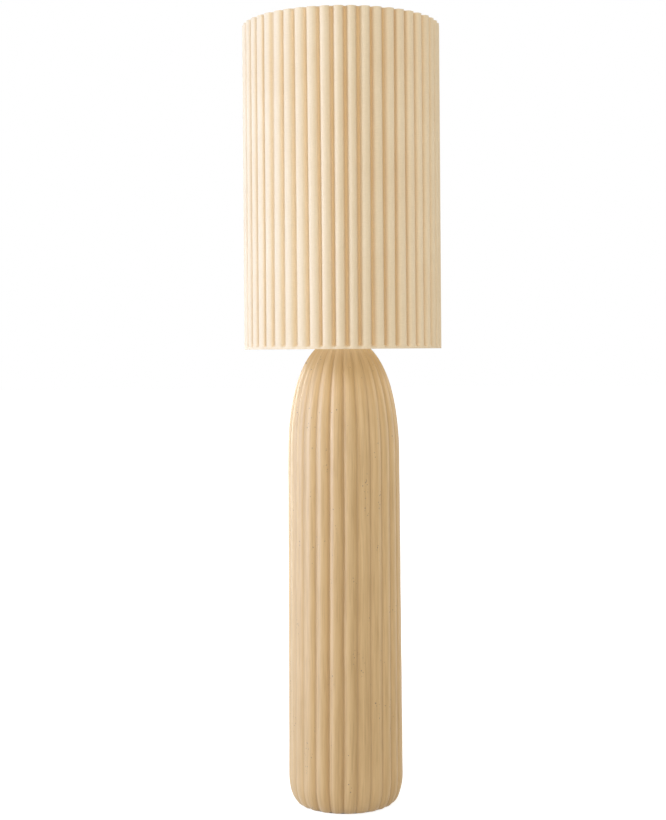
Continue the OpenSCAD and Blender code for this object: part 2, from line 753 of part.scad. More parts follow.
// One wire, from the left foot over the top to the right foot, with the seat and stud on its top
module harp() {
    lean_run = (harp_half_w - post_x - 2 * harp_bow_r * (1 - cos(harp_bow))) / sin(harp_bow);
    side_run = harp_h - seat_up - harp_straight - 2 * harp_bow_r * sin(harp_bow)
        - lean_run * cos(harp_bow) - harp_top_r;
    color([0.78, 0.66, 0.42]) {
        translate([-post_x, 0, harp_z])
            bent_wire([[harp_straight, harp_bow_r, -harp_bow], [lean_run, harp_bow_r, harp_bow],
                       [side_run, harp_top_r, 90], [2 * (harp_half_w - harp_top_r), harp_top_r, 90],
                       [side_run, harp_bow_r, harp_bow], [lean_run, harp_bow_r, -harp_bow],
                       [harp_straight, 0, 0]], harp_wire_r);
        translate([0, 0, seat_z - seat_up - seat_down]) cylinder(r = seat_r, h = seat_up + seat_down);
        translate([0, 0, seat_z - over]) cylinder(r = stud_r, h = stud_h + over);
    }
}

module harp_sleeve(s) {
    bore = harp_wire_r + run_gap;
    outer = bore + sleeve_wall;
    color([0.78, 0.66, 0.42]) translate([s * post_x, 0, holder_z + seat_gap]) rotate_extrude()
        polygon([[bore, 0], [outer - 0.4, 0], [outer, 0.4], [outer, sleeve_h - 0.8],
                 [outer - 0.8, sleeve_h], [bore, sleeve_h]]);
}

bush_r = 5;
bush_bore_h = seat_z + stud_h + over - finial_z;
bush_roof_t = 2;
bush_h = bush_bore_h + bush_roof_t;

module finial_bush() {
    color("goldenrod") translate([0, 0, finial_z]) difference() {
        cylinder(r = bush_r, h = bush_h);
        translate([0, 0, -over]) cylinder(r = stud_r + stud_gap, h = bush_bore_h + over);
    }
}

module finial() {
    base_r = 8.5;
    ball_sink = 2;
    color([0.78, 0.66, 0.42]) translate([0, 0, finial_z]) difference() {
        union() {
            rotate_extrude() polygon([[0, 0], [base_r - 0.6, 0], [base_r, 0.6], [base_r, 2], [7.4, 3],
                                      [6.4, 4.4], [6.2, finial_neck_h], [0, finial_neck_h]]);
            translate([0, 0, finial_neck_h + finial_r - ball_sink]) sphere(r = finial_r);
        }
        translate([0, 0, -over]) cylinder(r = bush_r + slip_gap, h = bush_h + slip_gap + over);
    }
}

// Shade

module ring(z) {
    translate([0, 0, z]) rotate_extrude($fn = 128) translate([ring_r, 0]) circle(r = ring_wire_r, $fn = 32);
}

// The hub, its arms and the top ring are welded into one piece
module spider_ring() {
    arm_z = hub_z + hub_t / 2;
    rise = spider_drop - arm_bend_r * (1 - cos(arm_slope));
    slope_run = rise / sin(arm_slope);
    start = hub_r - 2;
    flat_run = ring_r - slope_run * cos(arm_slope) - arm_bend_r * sin(arm_slope) - start;
    color([0.93, 0.93, 0.91]) difference() {
        union() {
            ring(top_ring_z);
            translate([0, 0, hub_z]) cylinder(r = hub_r, h = hub_t);
            for (i = [0 : arms - 1])
                rotate([0, 0, arm_phase + 360 * i / arms]) translate([start, 0, arm_z])
                    rotate([0, 90, 0]) bent_wire([[flat_run, arm_bend_r, -arm_slope],
                                                  [slope_run, 0, 0]], arm_wire_r);
        }
        translate([0, 0, hub_z - over]) cylinder(r = stud_r + run_gap, h = hub_t + 2 * over);
    }
}

module bottom_ring() {
    color([0.93, 0.93, 0.91]) ring(bottom_ring_z);
}

module shade_liner() {
    color([0.97, 0.95, 0.90]) translate([0, 0, shade_z]) difference() {
        cylinder(r = liner_r, h = shade_h, $fn = 128);
        translate([0, 0, -over]) cylinder(r = liner_in_r, h = shade_h + 2 * over, $fn = 128);
    }
}

// Middle of the fabric at t degrees through pleat k, as [x, y]; t = 0 is the crest of the fold
function pleat_mid(k, t) =
    let (pitch = 2 * PI * cover_mid_r / pleats,
         along = pitch * t / 360 + pleat_steep * pitch / (4 * PI) * sin(2 * t) + pleat_swell * sin(t),
         r = cover_mid_r + pleat_depth / 2 * cos(t),
         a = pleat_phase + 360 * k / pleats + along / cover_mid_r * 180 / PI)
    [r * cos(a), r * sin(a)];

// The same point moved off the middle, outwards for a positive offset
function pleat_edge(k, t, offset) =
    let (p = pleat_mid(k, t), d = pleat_mid(k, t + 1) - pleat_mid(k, t - 1))
    p + offset * [d[1], -d[0]] / norm(d);

function pleat_loop(offset) =
    [for (k = [0 : pleats - 1], t = pleat_turns) pleat_edge(k, t, offset)];

module shade_cover() {
    n = pleats * len(pleat_turns);
    color([0.96, 0.89, 0.76]) translate([0, 0, shade_z]) linear_extrude(height = shade_h, convexity = 20)
        polygon(points = concat(pleat_loop(fabric_t / 2), pleat_loop(-fabric_t / 2)),
                paths = [[for (i = [0 : n - 1]) i], [for (i = [0 : n - 1]) n + i]]);
}

ceramic_body();
felt_pad();
bottom_plate();
bottom_washer();
rod_nuts();
threaded_rod();
cable_grommet();
terminal_block();
terminal_screws();
inner_wires();
neck_gasket();
vase_cap();
riser_tube();
harp_saddle();
holder_cap();
holder_shell();
holder_liner();
holder_body();
holder_screws();
screw_shell();
centre_contact();
switch_spindle();
switch_key();
bulb_glass();
bulb_cap();
bulb_insulator();
bulb_contact();
bulb_stem();
bulb_filaments();
harp();
harp_sleeve(-1);  // harp_sleeve_left
harp_sleeve(1);  // harp_sleeve_right
finial_bush();
finial();
spider_ring();
bottom_ring();
shade_liner();
shade_cover();
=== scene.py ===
"""Looks of the floor lamp: fluted ceramic body and pleated drum shade. All lengths are in metres."""

import json
import math

import bmesh
import bpy
import numpy as np
from mathutils import Matrix, Vector


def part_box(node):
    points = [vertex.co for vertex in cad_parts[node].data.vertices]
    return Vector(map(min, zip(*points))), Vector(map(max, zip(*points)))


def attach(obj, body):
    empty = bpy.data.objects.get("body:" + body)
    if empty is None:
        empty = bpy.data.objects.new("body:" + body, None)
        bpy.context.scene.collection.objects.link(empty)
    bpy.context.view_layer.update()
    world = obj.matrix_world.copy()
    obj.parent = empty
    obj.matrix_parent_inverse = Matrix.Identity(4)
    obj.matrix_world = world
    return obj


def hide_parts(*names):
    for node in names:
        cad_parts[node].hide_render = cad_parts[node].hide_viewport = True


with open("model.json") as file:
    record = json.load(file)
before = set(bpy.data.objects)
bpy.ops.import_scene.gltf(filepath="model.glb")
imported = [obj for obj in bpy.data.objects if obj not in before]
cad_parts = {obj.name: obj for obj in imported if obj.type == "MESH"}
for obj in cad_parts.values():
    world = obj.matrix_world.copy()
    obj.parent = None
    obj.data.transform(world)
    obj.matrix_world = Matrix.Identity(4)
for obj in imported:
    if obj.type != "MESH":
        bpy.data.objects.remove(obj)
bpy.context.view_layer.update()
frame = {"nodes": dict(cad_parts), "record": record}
scene = bpy.context.scene
scene.view_settings.view_transform = "Standard"


# Camera

IMAGE_WIDTH, IMAGE_HEIGHT = 666, 820
SENSOR_WIDTH = 36.0             # millimetres
FOCAL_PIXELS = 1486.0
HORIZON_ROW = 349.0
AXIS_COLUMN = 342.9             # column of the image in which the lamp's axis stands
CAMERA_DISTANCE = 2.885
EYE_HEIGHT = 0.876
ROLL = 0.41                     # degrees
VIEW_END = 100.0


def make_camera():
    """A camera that looks level from the height of the shade's lower edge, with the view shifted down."""
    camera = bpy.data.objects.new("camera", bpy.data.cameras.new("camera"))
    scene.collection.objects.link(camera)
    scene.camera = camera
    camera.data.sensor_width = SENSOR_WIDTH
    camera.data.lens = FOCAL_PIXELS / IMAGE_HEIGHT * SENSOR_WIDTH
    camera.data.shift_y = (HORIZON_ROW - IMAGE_HEIGHT / 2) / IMAGE_HEIGHT
    camera.data.clip_end = VIEW_END
    aside = -(AXIS_COLUMN - IMAGE_WIDTH / 2) / FOCAL_PIXELS * CAMERA_DISTANCE
    camera.location = (aside, -CAMERA_DISTANCE, EYE_HEIGHT)
    level = Matrix.Rotation(math.radians(90), 3, "X")
    camera.rotation_euler = (level @ Matrix.Rotation(math.radians(-ROLL), 3, "Z")).to_euler()


# Meshes

def new_object(name, mesh, material, smooth=True):
    obj = bpy.data.objects.new(name, mesh)
    scene.collection.objects.link(obj)
    mesh.materials.append(material)
    if smooth:
        mesh.shade_smooth()
    return obj


def grid_mesh(name, points, closed_rows=False):
    """A mesh through points[row][column], closed round the columns, and round the rows too if asked."""
    rows, columns = points.shape[:2]
    row = np.arange(rows if closed_rows else rows - 1)[:, None]
    column = np.arange(columns)[None, :]
    next_row = (row + 1) % rows
    next_column = (column + 1) % columns
    corners = (
        row * columns + column,
        row * columns + next_column,
        next_row * columns + next_column,
        next_row * columns + column,
    )
    quads = np.stack(corners, axis=-1).reshape(-1, 4)
    mesh = bpy.data.meshes.new(name)
    mesh.vertices.add(rows * columns)
    mesh.vertices.foreach_set("co", points.reshape(-1).astype(np.float32))
    mesh.loops.add(quads.size)
    mesh.loops.foreach_set("vertex_index", quads.reshape(-1).astype(np.int32))
    mesh.polygons.add(len(quads))
    mesh.polygons.foreach_set("loop_start", np.arange(0, quads.size, 4, dtype=np.int32))
    mesh.update(calc_edges=True)
    mesh.validate()
    return mesh


def polar(radius, angle, z):
    """Points from radii, angles in degrees and heights."""
    turn = np.radians(angle)
    return np.stack(np.broadcast_arrays(radius * np.cos(turn), radius * np.sin(turn), z), axis=-1)


def store(mesh, name, kind, field, values):
    """Keeps a value for each vertex of a mesh, which a material reads by its name."""
    attribute = mesh.attributes.new(name, kind, "POINT")
    attribute.data.foreach_set(field, values.reshape(-1).astype(np.float32))


# Pieces of node trees

NOISE_ROUGHNESS = 0.55
MIX_FACTOR, MIX_FIRST, MIX_SECOND, MIX_RESULT = 0, 6, 7, 2      # sockets of a Mix node set to colour
WHITE = (1.0, 1.0, 1.0)


def grey(value):
    return (value, value, value)


def tint(colour, factor):
    return tuple(min(1.0, channel * factor) for channel in colour)


def new_material(name):
    """A material, with its tree, its shader and the coordinates of the object it is on."""
    material = bpy.data.materials.new(name)
    material.use_nodes = True
    tree = material.node_tree
    coords = tree.nodes.new("ShaderNodeTexCoord")
    return material, tree, tree.nodes["Principled BSDF"], coords.outputs["Object"]


def feed(tree, value, socket):
    """Links a node's output to a socket, or sets the socket to a plain colour or number."""
    if isinstance(value, bpy.types.NodeSocket):
        tree.links.new(value, socket)
    elif isinstance(value, tuple):
        socket.default_value = (*value, 1.0)
    else:
        socket.default_value = value


def attribute(tree, name, output):
    """What the mesh keeps under a name: its Vector or its number, Fac."""
    node = tree.nodes.new("ShaderNodeAttribute")
    node.attribute_name = name
    return node.outputs[output]


def stretched(tree, coords, scale):
    mapping = tree.nodes.new("ShaderNodeMapping")
    mapping.inputs["Scale"].default_value = scale
    tree.links.new(coords, mapping.inputs["Vector"])
    return mapping.outputs["Vector"]


def noise(tree, vector, scale, detail=4.0):
    node = tree.nodes.new("ShaderNodeTexNoise")
    node.inputs["Scale"].default_value = scale
    node.inputs["Detail"].default_value = detail
    node.inputs["Roughness"].default_value = NOISE_ROUGHNESS
    tree.links.new(vector, node.inputs["Vector"])
    return node.outputs["Fac"]


def ramp(tree, factor, *stops):
    """A colour ramp between two stops, each of them a position and a colour."""
    node = tree.nodes.new("ShaderNodeValToRGB")
    for element, (position, colour) in zip(node.color_ramp.elements, stops):
        element.position = position
        element.color = (*colour, 1.0)
    tree.links.new(factor, node.inputs["Fac"])
    return node.outputs["Color"]


def mixed(tree, first, second, factor, mode="MIX"):
    node = tree.nodes.new("ShaderNodeMix")
    node.data_type = "RGBA"
    node.blend_type = mode
    feed(tree, first, node.inputs[MIX_FIRST])
    feed(tree, second, node.inputs[MIX_SECOND])
    feed(tree, factor, node.inputs[MIX_FACTOR])
    return node.outputs[MIX_RESULT]


def darkened(tree, colour, pattern, tone, low, high, strength):
    """A colour multiplied by a tone where the pattern is below low, and ever less so up to high."""
    return mixed(tree, colour, ramp(tree, pattern, (low, tone), (high, WHITE)), strength, "MULTIPLY")


def maths(tree, operation, first, second):
    node = tree.nodes.new("ShaderNodeMath")
    node.operation = operation
    feed(tree, first, node.inputs[0])
    feed(tree, second, node.inputs[1])
    return node.outputs[0]


def bump(tree, shader, *heights):
    """Chains bumps, each of them a height socket, a strength and a depth in metres."""
    last = None
    for height, strength, depth in heights:
        node = tree.nodes.new("ShaderNodeBump")
        node.inputs["Strength"].default_value = strength
        node.inputs["Distance"].default_value = depth
        tree.links.new(height, node.inputs["Height"])
        if last is not None:
            tree.links.new(last, node.inputs["Normal"])
        last = node.outputs["Normal"]
    tree.links.new(last, shader.inputs["Normal"])


# Materials

MOTTLE_WIDTH = 8                # a soft mottle is this many times as wide as the fine grain
LEAST_ROUGHNESS = 0.02
PLAIN_BUMP = 0.5

CLAY_DARK, CLAY_LIGHT = (0.642, 0.427, 0.198), (0.687, 0.465, 0.227)
STREAK_TONE = (0.86, 0.83, 0.77)
COMB_TONE = (0.80, 0.76, 0.69)
GRAIN_TONE = (0.30, 0.20, 0.115)
# Colour of the painted shade in the valleys
VALLEY_SHADE_TONE = (0.42, 0.265, 0.125)
GRAIN_CELLS = 170.0             # cells in a metre, each of which may hold a dark grain
GRAIN_RADIUS = 0.36             # the largest grain's, as a share of a cell
GRAIN_CHOICE = 0.61             # grains show only where a coarser noise is above this
# How strongly the dark grains and the painted shade in the valleys are laid on
GRAIN_STRENGTH, VALLEY_SHADE_STRENGTH = 0.85, 0.75

CREAM_LIGHT, CREAM_DARK = (0.925, 0.765, 0.555), (0.905, 0.735, 0.52)
LINER_LIGHT, LINER_DARK = (0.90, 0.84, 0.72), (0.88, 0.81, 0.68)
YARN_TONE = (0.90, 0.89, 0.87)
# Painted shade: the colour in the folds' recesses is multiplied towards this tone
FOLD_SHADE_TONE = (0.80, 0.70, 0.55)
YARN_BUMP, YARN_DEPTH = 0.4, 0.0002

BROWN_WIRE, BLUE_WIRE = (0.20, 0.085, 0.035), (0.04, 0.12, 0.42)

PLAIN_LOOKS = {
    "felt": dict(colour=(0.16, 0.125, 0.10), roughness=0.95, scale=1500, variation=0.25,
                 bump_depth=0.0006, extra={"Sheen Weight": 0.4}),
    "zinc_steel": dict(colour=(0.60, 0.61, 0.62), roughness=0.34, scale=500, variation=0.10,
                       metallic=1.0, grain=(1, 1, 6), roughness_variation=0.10),
    "nut_brass": dict(colour=(0.72, 0.53, 0.24), roughness=0.30, scale=600, variation=0.08,
                      metallic=1.0, grain=(1, 1, 5), roughness_variation=0.10),
    "black_rubber": dict(colour=(0.022, 0.022, 0.022), roughness=0.70, scale=900, variation=0.3),
    "block_plastic": dict(colour=(0.80, 0.79, 0.74), roughness=0.42, scale=700, variation=0.04),
    "satin_brass": dict(colour=(0.66, 0.50, 0.26), roughness=0.34, scale=900, variation=0.07,
                        metallic=1.0, grain=(1, 1, 0.15), roughness_variation=0.10),
    "fibre": dict(colour=(0.30, 0.20, 0.11), roughness=0.85, scale=800, variation=0.25,
                  grain=(1, 1, 0.2), bump_depth=0.0002),
    "black_plastic": dict(colour=(0.02, 0.02, 0.02), roughness=0.35, scale=900, variation=0.3),
    "screw_aluminium": dict(colour=(0.74, 0.74, 0.73), roughness=0.28, scale=600, variation=0.06,
                            metallic=1.0, grain=(1, 1, 8)),
    "opal_glass": dict(colour=(0.90, 0.89, 0.86), roughness=0.16, scale=60, variation=0.02,
                       roughness_variation=0.04, bump_depth=0.00002, extra={"Coat Weight": 0.3}),
    "clear_glass": dict(colour=(0.93, 0.95, 0.95), roughness=0.05, scale=80, variation=0.02,
                        roughness_variation=0.02, bump_depth=0.00002, extra={"Transmission Weight": 1.0}),
    "filament_yellow": dict(colour=(0.88, 0.56, 0.09), roughness=0.60, scale=1500, variation=0.12),
    "white_paint": dict(colour=(0.80, 0.78, 0.74), roughness=0.42, scale=1200, variation=0.04,
                        bump_depth=0.0001),
}


def plain_material(name, colour, roughness, scale, variation, metallic=0.0, grain=(1, 1, 1),
                   roughness_variation=0.08, bump_depth=0.00005, extra=None):
    """A procedural material: mottled colour, uneven roughness and a fine grain."""
    material, tree, shader, coords = new_material(name)
    mottle = noise(tree, coords, scale / MOTTLE_WIDTH)
    fine = noise(tree, stretched(tree, coords, grain), scale)
    dark, light = tint(colour, 1 - variation), tint(colour, 1 + variation)
    tree.links.new(ramp(tree, mottle, (0.3, dark), (0.7, light)), shader.inputs["Base Color"])
    least = max(LEAST_ROUGHNESS, roughness - roughness_variation)
    most = min(1.0, roughness + roughness_variation)
    tree.links.new(ramp(tree, fine, (0.25, grey(least)), (0.75, grey(most))), shader.inputs["Roughness"])
    shader.inputs["Metallic"].default_value = metallic
    for socket, value in (extra or {}).items():
        shader.inputs[socket].default_value = value
    bump(tree, shader, (fine, PLAIN_BUMP, bump_depth))
    return material


def ceramic_material():
    """Matt clay: soft clouds, marks that run along the flutes, dark grains, and painted shade in the valleys.
    """
    material, tree, shader, coords = new_material("ceramic")
    colour = ramp(tree, noise(tree, coords, scale=7.0), (0.3, CLAY_DARK), (0.7, CLAY_LIGHT))
    # The throwing marks and the comb's lines run along the flutes, over the dome as well
    along = attribute(tree, "along", "Vector")
    streak = noise(tree, stretched(tree, along, (1, 1, 0.06)), scale=130.0, detail=5.0)
    comb = noise(tree, stretched(tree, along, (1, 1, 0.03)), scale=420.0, detail=2.0)
    colour = darkened(tree, colour, streak, STREAK_TONE, low=0.35, high=0.58, strength=0.72)
    colour = darkened(tree, colour, comb, COMB_TONE, low=0.38, high=0.50, strength=0.5)
    # Dark grains: small cells, of which a coarser noise keeps only a few
    cells = tree.nodes.new("ShaderNodeTexVoronoi")
    cells.inputs["Scale"].default_value = GRAIN_CELLS
    tree.links.new(coords, cells.inputs["Vector"])
    coarse = noise(tree, stretched(tree, coords, (1, 1, 0.35)), scale=42.0, detail=2.0)
    chosen = maths(tree, "GREATER_THAN", coarse, GRAIN_CHOICE)
    size = maths(tree, "MULTIPLY", noise(tree, coords, scale=90.0, detail=1.0), GRAIN_RADIUS)
    near = maths(tree, "LESS_THAN", cells.outputs["Distance"], size)
    grain = maths(tree, "MULTIPLY", near, chosen)
    colour = mixed(tree, colour, GRAIN_TONE, maths(tree, "MULTIPLY", grain, GRAIN_STRENGTH))
    # Painted shade: the colour is darkened in the valleys between the flutes
    valley = attribute(tree, "valley", "Fac")
    colour = mixed(tree, colour, VALLEY_SHADE_TONE, maths(tree, "MULTIPLY", valley, VALLEY_SHADE_STRENGTH))
    tree.links.new(colour, shader.inputs["Base Color"])
    sand = noise(tree, coords, scale=900.0, detail=3.0)
    tree.links.new(ramp(tree, sand, (0.3, grey(0.44)), (0.7, grey(0.58))), shader.inputs["Roughness"])
    shader.inputs["Specular IOR Level"].default_value = 0.72
    pits = maths(tree, "MULTIPLY", grain, -1.0)
    bump(tree, shader, (streak, 0.25, 0.0006), (sand, 0.35, 0.0003), (pits, 0.6, 0.0006))
    return material


def shade_fabric(name, light, dark, sheen):
    """Plain woven cloth: warp along the height, weft round it, uneven yarns, and painted shade, darker and
    warmer, in the folds' recesses.
    """
    material, tree, shader, coords = new_material(name)
    warp = noise(tree, stretched(tree, coords, (1, 1, 0.03)), scale=900.0, detail=2.0)
    weft = noise(tree, stretched(tree, coords, (0.12, 0.12, 1)), scale=1100.0, detail=2.0)
    cloud = noise(tree, coords, scale=9.0, detail=3.0)
    yarn = maths(tree, "MULTIPLY", warp, weft)
    colour = ramp(tree, cloud, (0.35, dark), (0.65, light))
    colour = darkened(tree, colour, yarn, YARN_TONE, low=0.12, high=0.36, strength=0.7)
    # Painted shade: the recesses of the folds are made darker and warmer
    colour = mixed(tree, colour, FOLD_SHADE_TONE, attribute(tree, "fold", "Fac"), "MULTIPLY")
    tree.links.new(colour, shader.inputs["Base Color"])
    tree.links.new(ramp(tree, weft, (0.3, grey(0.78)), (0.7, grey(0.95))), shader.inputs["Roughness"])
    shader.inputs["Sheen Weight"].default_value = sheen
    shader.inputs["Sheen Roughness"].default_value = 0.5
    shader.inputs["Specular IOR Level"].default_value = 0.2
    bump(tree, shader, (warp, YARN_BUMP, YARN_DEPTH), (weft, YARN_BUMP, YARN_DEPTH))
    return material


def wire_material():
    """Brown insulation on the left wire and blue on the right one."""
    material, tree, shader, coords = new_material("wire_insulation")
    parts = tree.nodes.new("ShaderNodeSeparateXYZ")
    tree.links.new(coords, parts.inputs[0])
    right = maths(tree, "GREATER_THAN", parts.outputs["X"], 0.0)
    fine = noise(tree, coords, scale=900.0)
    colour = mixed(tree, BROWN_WIRE, BLUE_WIRE, right)
    colour = darkened(tree, colour, fine, grey(0.88), low=0.3, high=0.7, strength=1.0)
    tree.links.new(colour, shader.inputs["Base Color"])
    shader.inputs["Roughness"].default_value = 0.45
    bump(tree, shader, (fine, 0.3, 0.00004))
    return material


# Ceramic body

CLAY_SEED = 11
FOOT_Z = 0.002
NECK_Z = 0.894
NECK_R = 0.026
NECK_HOLE_R = 0.012
NECK_EDGE = 0.001               # how far the neck's edges are cut back
CORNER_TOP = 0.056              # height at which the rounded foot meets the sides
DOME_START = 0.6583             # height at which the sides meet the dome
DOME_H = 0.2394
FOOT_R, LOW_R, HIGH_R = 0.08585, 0.1103, 0.1083         # at the foot and at both ends of the sides
CORNER_POWER, DOME_POWER = 2.07, 2.33
CORNER_ROWS, SIDE_ROWS, DOME_ROWS = 16, 60, 56
FLUTES = 25
FLUTE_STEPS = 24                # columns of the mesh in a flute
FLUTE_DEPTH = 0.0058
FIRST_VALLEY = -1.0             # degrees to the right of the front, at the top of the sides
FLUTE_LEAN = -2.6               # degrees that the flutes turn from there to the foot
# Degrees by which valleys near the front stand off the even spacing, and the spread of the others
UNEVEN = {-3: -2.0, -2: -0.9, -1: -0.6, 1: 0.6, 2: 0.8, 3: 0.6}
UNEVEN_SPREAD = 0.5
# Depths of the valleys near the front, as shares of FLUTE_DEPTH, and the spread of the others round 1
DEEP = {
    -6: 0.7, -5: 0.4, -4: 0.4, -3: 0.6, -2: 1.05, -1: 1.3,
    0: 1.25, 1: 1.0, 2: 0.8, 3: 0.8, 4: 0.9, 5: 0.9,
}
DEEP_SPREAD = 0.10
FLUTE_SWAY = 0.16               # spread of the degrees by which a valley wanders on its way up
SWAY_WAVES, MORE_WAVES = 1.5, 2.5                       # waves in a metre: at least, and at most added
# The bottom of a valley is eased: from which share of half a flute, over which share, and by how much
EASE_START, EASE_WIDTH, EASE = 0.9, 0.1, 0.06
DENT, DENT_WAVES, DENTS_ROUND = 0.00012, 9, 5           # depth, waves in a metre, and waves round the body
# Painted shade in a valley: where it starts and how it grows, in the same shares of half a flute
VALLEY_SHADE_START, VALLEY_SHADE_WIDTH, VALLEY_SHADE_POWER = 0.72, 0.28, 1.5
# Radii and heights down the neck's hole, along the inside of the wall and out along the foot
INNER_PROFILE = [
    (NECK_R - NECK_EDGE, NECK_Z), (NECK_HOLE_R + NECK_EDGE, NECK_Z), (NECK_HOLE_R, NECK_Z - NECK_EDGE),
    (NECK_HOLE_R, NECK_Z - 0.012), (0.050, 0.862), (0.085, 0.800), (0.097, 0.700), (0.0985, 0.620),
    (0.1000, 0.070), (0.0940, 0.058), (0.056, 0.058), (0.056, 0.048), (0.0945, 0.048), (0.0930, 0.030),
    (0.0860, 0.010), (0.0760, FOOT_Z + 0.0005), (0.0780, FOOT_Z), (0.0845, FOOT_Z),
]
INLET_Z = 0.024
INLET_FACE, INLET_BACK = 0.0977341, 0.0927341           # how far back the grommet's outer and inner seat are
GROMMET_R, GROMMET_FLANGE_R = 0.0064, 0.0093
HOLE_OVERLAP, SEAT_CUT = 0.001, 0.014                   # how far the cutters reach past the seats
CUTTER_SIDES = 48


def body_radius(z):
    """The outside before the flutes: a rounded foot, nearly straight sides and a dome."""
    corner = np.clip(1 - z / CORNER_TOP, 0, 1)
    side = np.clip((z - CORNER_TOP) / (DOME_START - CORNER_TOP), 0, 1)
    dome = np.clip((z - DOME_START) / DOME_H, 0, 1)
    corner_radius = FOOT_R + (LOW_R - FOOT_R) * (1 - corner ** CORNER_POWER) ** (1 / CORNER_POWER)
    dome_radius = HIGH_R * (1 - dome ** DOME_POWER) ** (1 / DOME_POWER)
    radius = np.where(z > CORNER_TOP, LOW_R + (HIGH_R - LOW_R) * side, corner_radius)
    return np.where(z > DOME_START, dome_radius, radius)


def body_heights():
    """Heights of the mesh rows up the outside, closer together on the foot and on the dome."""
    corner_turn = np.linspace(math.acos(1 - FOOT_Z / CORNER_TOP), math.pi / 2, CORNER_ROWS)
    dome_end = math.asin(((NECK_Z - DOME_START) / DOME_H) ** (DOME_POWER / 2))
    dome_turn = np.linspace(0, dome_end, DOME_ROWS)
    return np.concatenate([
        CORNER_TOP * (1 - np.cos(corner_turn)),
        np.linspace(CORNER_TOP, DOME_START, SIDE_ROWS)[1:-1],
        DOME_START + DOME_H * np.sin(dome_turn) ** (2 / DOME_POWER),
    ])


def valley_angles(random, numbers, heights):
    """Where each valley is at each height, in degrees to the right of the front."""
    # Every valley but the front one draws a shift, also where UNEVEN gives it another
    drawn = [UNEVEN_SPREAD * random.normal() if number else 0.0 for number in numbers]
    angles = []
    for index, number in enumerate(numbers):
        reach = FLUTE_SWAY * random.normal()
        waves = SWAY_WAVES + MORE_WAVES * random.random()
        start = random.random()
        sway = reach * np.sin(2 * math.pi * (waves * heights + start))
        shift = UNEVEN.get(number, drawn[index]) + sway
        angles.append(FIRST_VALLEY + index * 360 / FLUTES + shift)
    lean = FLUTE_LEAN * np.clip(1 - heights / DOME_START, 0, 1)
    return np.stack(angles, axis=1) + lean[:, None]


def ceramic_body():
    """Rings up the outside, over the neck, down its hole, through the inside and out along the foot."""
    random = np.random.default_rng(CLAY_SEED)
    column = np.arange(FLUTES * FLUTE_STEPS)
    flute = column // FLUTE_STEPS
    next_flute = (flute + 1) % FLUTES
    across = 2 * (column % FLUTE_STEPS) / FLUTE_STEPS - 1       # -1 in one valley, 1 in the next
    share = (across + 1) / 2
    heights = body_heights()
    z = heights[:, None]
    radius = body_radius(z)
    # The valleys' numbers from the front: 1 and up to the right, -1 and down to the left
    numbers = (np.arange(FLUTES) + FLUTES // 2) % FLUTES - FLUTES // 2
    valleys = valley_angles(random, numbers, heights)
    whole_turn = np.where(flute == FLUTES - 1, 360.0, 0.0)
    angle = valleys[:, flute] * (1 - share) + (whole_turn + valleys[:, next_flute]) * share - 90
    # Every valley draws a size, also where DEEP gives it another
    sizes = np.array([DEEP.get(number, 1 + DEEP_SPREAD * random.normal()) for number in numbers])
    size = sizes[flute] * (1 - share) + sizes[next_flute] * share
    depth = FLUTE_DEPTH * np.clip((radius - NECK_R) / (LOW_R - NECK_R), 0, 1)
    from_crest = np.abs(across)
    eased = EASE * np.clip((from_crest - EASE_START) / EASE_WIDTH, 0, 1) ** 2
    dents = DENT * np.sin(DENT_WAVES * z * 2 * math.pi + DENTS_ROUND * np.radians(angle))
    fluted = radius - depth * size * (from_crest ** 2.0 - eased) + dents * (depth / FLUTE_DEPTH)
    outer = polar(fluted, angle, z)
    profile = np.array(INNER_PROFILE)
    inner = polar(profile[:, :1], angle[-1], profile[:, 1:])
    mesh = grid_mesh("ceramic_body_fine", np.concatenate([outer, inner]), closed_rows=True)
    # The same places on a plain cylinder, which the grain of the clay is laid out on
    all_heights = np.concatenate([heights, profile[:, 1]])[:, None]
    even = polar(HIGH_R, column * 360 / len(column) - 90, all_heights)
    store(mesh, "along", "FLOAT_VECTOR", "vector", even)
    # Painted shade towards the middle of each valley, stronger where the valley is cut further in
    dark = np.clip((from_crest - VALLEY_SHADE_START) / VALLEY_SHADE_WIDTH, 0, 1) ** VALLEY_SHADE_POWER
    dark = dark * np.clip(size * depth / FLUTE_DEPTH, 0, 1)
    store(mesh, "valley", "FLOAT", "value", np.concatenate([dark, np.zeros((len(inner), len(column)))]))
    body = new_object("ceramic_body_fine", mesh, MATERIALS["ceramic"])
    # The hole for the cable grommet, and its outer and inner seat
    cut_cylinder(body, INLET_BACK - HOLE_OVERLAP, INLET_FACE + HOLE_OVERLAP, GROMMET_R)
    cut_cylinder(body, INLET_FACE, INLET_FACE + SEAT_CUT, GROMMET_FLANGE_R)
    cut_cylinder(body, INLET_BACK - SEAT_CUT, INLET_BACK, GROMMET_FLANGE_R)
    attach(body, "stand")
    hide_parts("ceramic_body")


